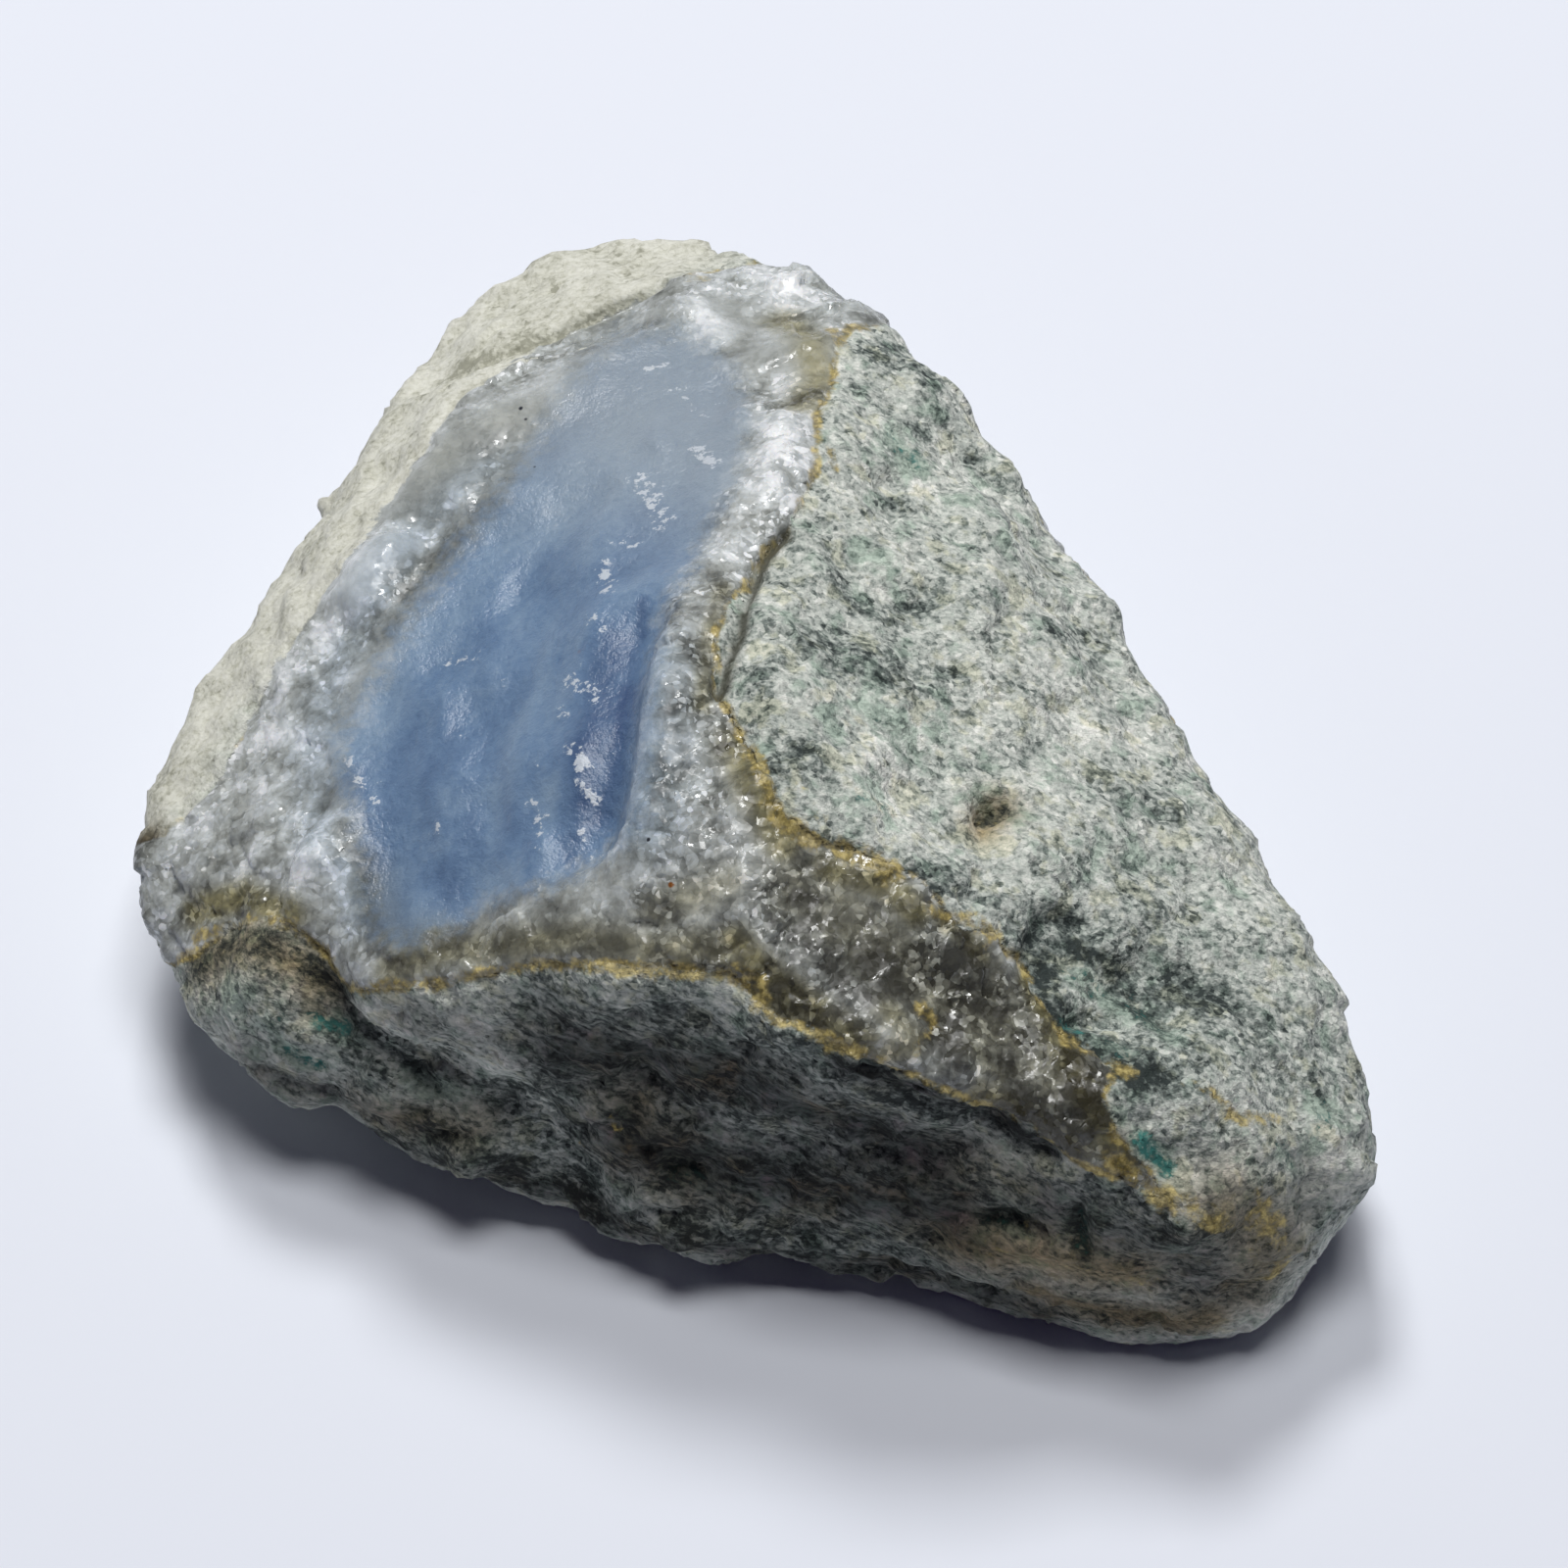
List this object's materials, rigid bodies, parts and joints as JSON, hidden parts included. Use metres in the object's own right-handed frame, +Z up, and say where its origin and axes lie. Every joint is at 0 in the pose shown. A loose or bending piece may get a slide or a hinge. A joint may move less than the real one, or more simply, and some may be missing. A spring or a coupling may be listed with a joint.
{
  "type": "rough blue opal",
  "caption": "Palm-sized broken lump of grey-green rock with a slanting vein of white quartz round a smooth milky blue opal, lying on its worn underside.",
  "frame": {"origin": "under the middle of the stone, on the surface that it lies on", "axes": "+Z up from the resting face, +X to the right and +Y away from the viewer as the picture shows the stone"},
  "size_m": [0.0794, 0.0828, 0.0356],
  "materials": {
    "stone": "rough flaky grey-green rock, sugary grey-white quartz and smooth milky blue opal"
  },
  "bodies": {
    "root": {"blue_opal_stone": "stone"}
  },
  "joints": []
}
